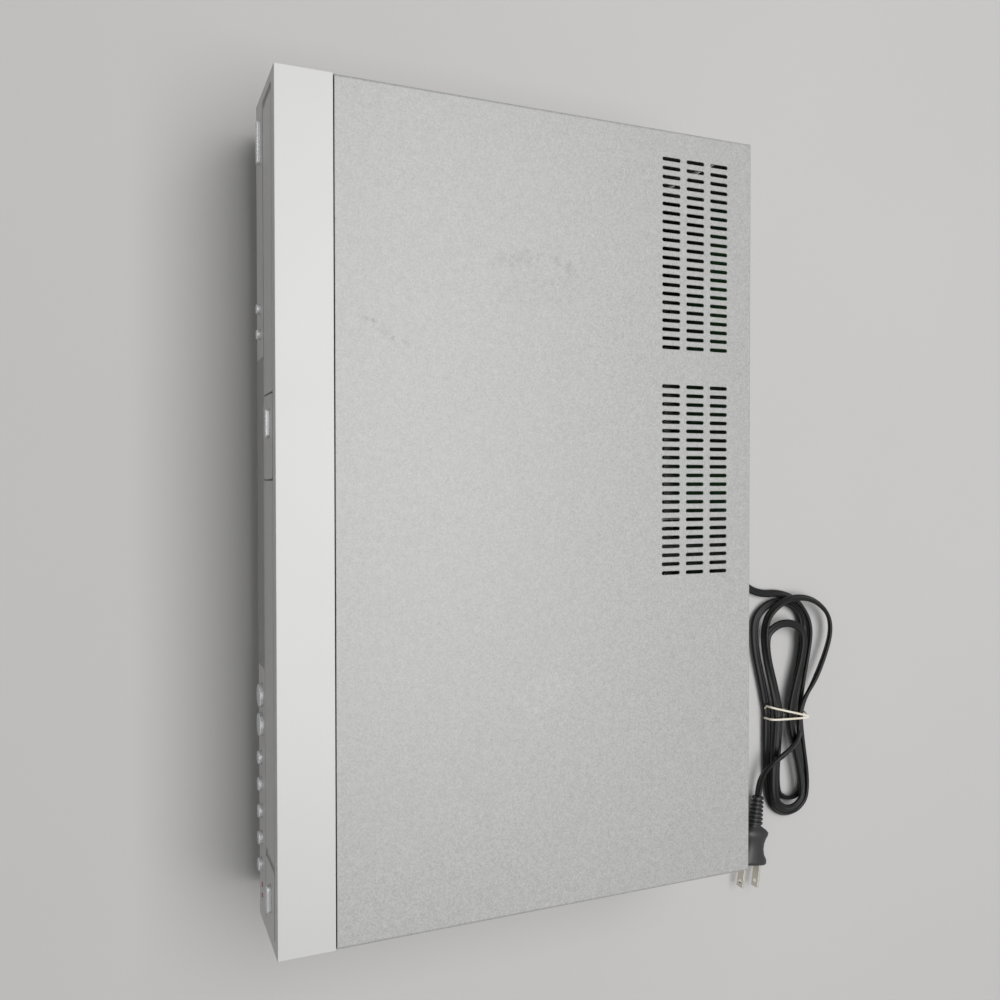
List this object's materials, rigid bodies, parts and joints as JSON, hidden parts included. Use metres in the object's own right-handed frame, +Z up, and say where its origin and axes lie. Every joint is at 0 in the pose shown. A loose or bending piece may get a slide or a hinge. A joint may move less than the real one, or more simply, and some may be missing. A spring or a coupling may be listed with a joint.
{
  "type": "disc and cassette combination player",
  "caption": "Low box-shaped combination player for video discs and cassettes, with a disc tray, a cassette slot with a flap, push buttons and a mains cord tied in a hank.",
  "frame": {"origin": "on the surface under the feet, below the middle of the case", "axes": "+X to the right of someone facing the front, +Y to the rear, +Z up"},
  "size_m": [0.4882, 0.4157, 0.096],
  "materials": {
    "painted_steel": "matte",
    "plated_steel": "satin",
    "silver_plastic": "satin",
    "smoked_window": "gloss",
    "black_plastic": "matte",
    "white_nylon": "matte",
    "green_board": "satin",
    "steel_shafts": "polished",
    "drum_aluminium": "polished",
    "motor_steel": "satin",
    "power_components": "matte",
    "black_rubber": "matte",
    "cord_black": "satin",
    "band_rubber": "matte",
    "nickel": "polished"
  },
  "bodies": {
    "root": {"front_panel": "silver_plastic", "display_window": "smoked_window", "top_cover": "painted_steel", "cover_screws": "plated_steel", "base_pan": "plated_steel", "feet": "black_plastic", "key_board": "green_board", "circuit_boards": "green_board", "power_parts": "power_components", "rear_panel": "plated_steel", "rear_jacks": "black_plastic", "tuner_module": "plated_steel", "strain_relief": "cord_black", "cord_lead": "cord_black", "cord_hank": "cord_black", "cord_tail": "cord_black", "rubber_band": "band_rubber", "plug_body": "cord_black", "plug_blades": "nickel", "dvd_frame": "black_plastic", "clamp_bridge": "plated_steel", "loading_motor": "motor_steel", "loading_belt": "black_rubber", "deck_frame": "plated_steel", "lower_drum": "drum_aluminium", "capstan_stator": "motor_steel"},
    "tray": {"tray_front": "silver_plastic", "disc_tray": "black_plastic"},
    "loading_gear": {"loading_gear": "white_nylon"},
    "motor_pulley": {"motor_pulley": "white_nylon"},
    "traverse": {"traverse_frame": "plated_steel", "guide_rods": "steel_shafts", "traverse_motors": "motor_steel"},
    "pickup": {"pickup_sled": "black_plastic"},
    "lead_screw": {"lead_screw": "steel_shafts"},
    "turntable": {"turntable": "black_plastic"},
    "clamper": {"disc_clamper": "black_plastic"},
    "cassette_door": {"cassette_door": "silver_plastic"},
    "slider": {"slider_shaft": "steel_shafts"},
    "holder": {"cassette_holder": "plated_steel"},
    "supply_reel": {"supply_reel": "black_plastic"},
    "takeup_reel": {"takeup_reel": "black_plastic"},
    "upper_drum": {"upper_drum": "drum_aluminium"},
    "capstan": {"capstan": "motor_steel"},
    "supply_guide": {"supply_guide": "white_nylon"},
    "takeup_guide": {"takeup_guide": "white_nylon"},
    "pinch_arm": {"pinch_arm": "steel_shafts"},
    "pinch_roller": {"pinch_roller": "black_rubber"},
    "power_button": {"power_button": "silver_plastic"},
    "open_button": {"open_button": "silver_plastic"},
    "eject_button": {"eject_button": "silver_plastic"},
    "left_button_1": {"left_button_1": "silver_plastic"},
    "left_button_2": {"left_button_2": "silver_plastic"},
    "large_button_1": {"large_button_1": "silver_plastic"},
    "large_button_2": {"large_button_2": "silver_plastic"},
    "deck_button_1": {"deck_button_1": "silver_plastic"},
    "deck_button_2": {"deck_button_2": "silver_plastic"},
    "deck_button_3": {"deck_button_3": "silver_plastic"},
    "deck_button_4": {"deck_button_4": "silver_plastic"},
    "deck_button_5": {"deck_button_5": "silver_plastic"}
  },
  "joints": [
    {"name": "tray_slide", "type": "slide", "parent": "root", "child": "tray", "axis": [0, -1, 0], "range_m": [0, 0.13]},
    {"name": "gear_spin", "type": "hinge", "parent": "root", "child": "loading_gear", "pos_m": [-0.181, -0.108, 0.058], "axis": [0, 0, 1], "range_deg": [0, 828]},
    {"name": "motor_pulley_spin", "type": "hinge", "parent": "root", "child": "motor_pulley", "pos_m": [-0.105, -0.108, 0.052], "axis": [0, 0, 1], "range_deg": [0, 4970]},
    {"name": "traverse_tilt", "type": "hinge", "parent": "root", "child": "traverse", "pos_m": [-0.133, 0.014, 0.053], "axis": [1, 0, 0], "range_deg": [0, 5]},
    {"name": "pickup_slide", "type": "slide", "parent": "traverse", "child": "pickup", "axis": [0, 1, 0], "range_m": [0, 0.034]},
    {"name": "lead_screw_spin", "type": "hinge", "parent": "traverse", "child": "lead_screw", "pos_m": [-0.111, -0.02, 0.0585], "axis": [0, 1, 0], "range_deg": [0, 4085]},
    {"name": "turntable_spin", "type": "hinge", "parent": "traverse", "child": "turntable", "pos_m": [-0.133, -0.07, 0.0695], "axis": [0, 0, 1], "continuous": true},
    {"name": "clamper_spin", "type": "hinge", "parent": "root", "child": "clamper", "pos_m": [-0.133, -0.07, 0.08], "axis": [0, 0, 1], "continuous": true},
    {"name": "door_swing", "type": "hinge", "parent": "root", "child": "cassette_door", "pos_m": [0.0775, -0.1385, 0.0885], "axis": [1, 0, 0], "range_deg": [0, 78], "stiffness_Nm_per_rad": 0.01, "springref_deg": -11.46},
    {"name": "holder_in", "type": "slide", "parent": "root", "child": "slider", "axis": [0, 1, 0], "range_m": [0, 0.058]},
    {"name": "holder_down", "type": "slide", "parent": "slider", "child": "holder", "axis": [0, 0, -1], "range_m": [0, 0.021]},
    {"name": "supply_reel_spin", "type": "hinge", "parent": "root", "child": "supply_reel", "pos_m": [0.0315, -0.014, 0.037], "axis": [0, 0, 1], "continuous": true},
    {"name": "takeup_reel_spin", "type": "hinge", "parent": "root", "child": "takeup_reel", "pos_m": [0.1235, -0.014, 0.037], "axis": [0, 0, 1], "continuous": true},
    {"name": "drum_spin", "type": "hinge", "parent": "root", "child": "upper_drum", "pos_m": [0.0775, 0.072, 0.0392], "axis": [0, -0.0872, 0.9962], "continuous": true},
    {"name": "capstan_spin", "type": "hinge", "parent": "root", "child": "capstan", "pos_m": [0.138, 0.046, 0.03], "axis": [0, 0, 1], "continuous": true},
    {"name": "supply_guide_slide", "type": "slide", "parent": "root", "child": "supply_guide", "axis": [-0.2841, 0.9588, 0], "range_m": [0, 0.0563]},
    {"name": "takeup_guide_slide", "type": "slide", "parent": "root", "child": "takeup_guide", "axis": [0.2841, 0.9588, 0], "range_m": [0, 0.0563]},
    {"name": "pinch_swing", "type": "hinge", "parent": "root", "child": "pinch_arm", "pos_m": [0.16, 0.058, 0.04], "axis": [0, 0, -1], "range_deg": [0, 30]},
    {"name": "pinch_roller_spin", "type": "hinge", "parent": "pinch_arm", "child": "pinch_roller", "pos_m": [0.156, 0.034, 0.044], "axis": [0, 0, 1], "continuous": true},
    {"name": "power_button_press", "type": "slide", "parent": "root", "child": "power_button", "axis": [0, 1, 0], "range_m": [0, 0.0008], "stiffness_N_per_m": 400, "springref_m": -0.0003},
    {"name": "open_button_press", "type": "slide", "parent": "root", "child": "open_button", "axis": [0, 1, 0], "range_m": [0, 0.0008], "stiffness_N_per_m": 400, "springref_m": -0.0003},
    {"name": "eject_button_press", "type": "slide", "parent": "root", "child": "eject_button", "axis": [0, 1, 0], "range_m": [0, 0.0008], "stiffness_N_per_m": 400, "springref_m": -0.0003},
    {"name": "left_button_1_press", "type": "slide", "parent": "root", "child": "left_button_1", "axis": [0, 1, 0], "range_m": [0, 0.0008], "stiffness_N_per_m": 400, "springref_m": -0.0003},
    {"name": "left_button_2_press", "type": "slide", "parent": "root", "child": "left_button_2", "axis": [0, 1, 0], "range_m": [0, 0.0008], "stiffness_N_per_m": 400, "springref_m": -0.0003},
    {"name": "large_button_1_press", "type": "slide", "parent": "root", "child": "large_button_1", "axis": [0, 1, 0], "range_m": [0, 0.0008], "stiffness_N_per_m": 400, "springref_m": -0.0003},
    {"name": "large_button_2_press", "type": "slide", "parent": "root", "child": "large_button_2", "axis": [0, 1, 0], "range_m": [0, 0.0008], "stiffness_N_per_m": 400, "springref_m": -0.0003},
    {"name": "deck_button_1_press", "type": "slide", "parent": "root", "child": "deck_button_1", "axis": [0, 1, 0], "range_m": [0, 0.0008], "stiffness_N_per_m": 400, "springref_m": -0.0003},
    {"name": "deck_button_2_press", "type": "slide", "parent": "root", "child": "deck_button_2", "axis": [0, 1, 0], "range_m": [0, 0.0008], "stiffness_N_per_m": 400, "springref_m": -0.0003},
    {"name": "deck_button_3_press", "type": "slide", "parent": "root", "child": "deck_button_3", "axis": [0, 1, 0], "range_m": [0, 0.0008], "stiffness_N_per_m": 400, "springref_m": -0.0003},
    {"name": "deck_button_4_press", "type": "slide", "parent": "root", "child": "deck_button_4", "axis": [0, 1, 0], "range_m": [0, 0.0008], "stiffness_N_per_m": 400, "springref_m": -0.0003},
    {"name": "deck_button_5_press", "type": "slide", "parent": "root", "child": "deck_button_5", "axis": [0, 1, 0], "range_m": [0, 0.0008], "stiffness_N_per_m": 400, "springref_m": -0.0003}
  ],
  "couplings": [
    {"joint": "gear_spin", "follows": "tray_slide", "rad_per_m": 111.11},
    {"joint": "motor_pulley_spin", "follows": "tray_slide", "rad_per_m": 666.67},
    {"joint": "lead_screw_spin", "follows": "pickup_slide", "rad_per_m": 2094.4},
    {"joint": "takeup_guide_slide", "follows": "supply_guide_slide", "ratio": 1}
  ]
}
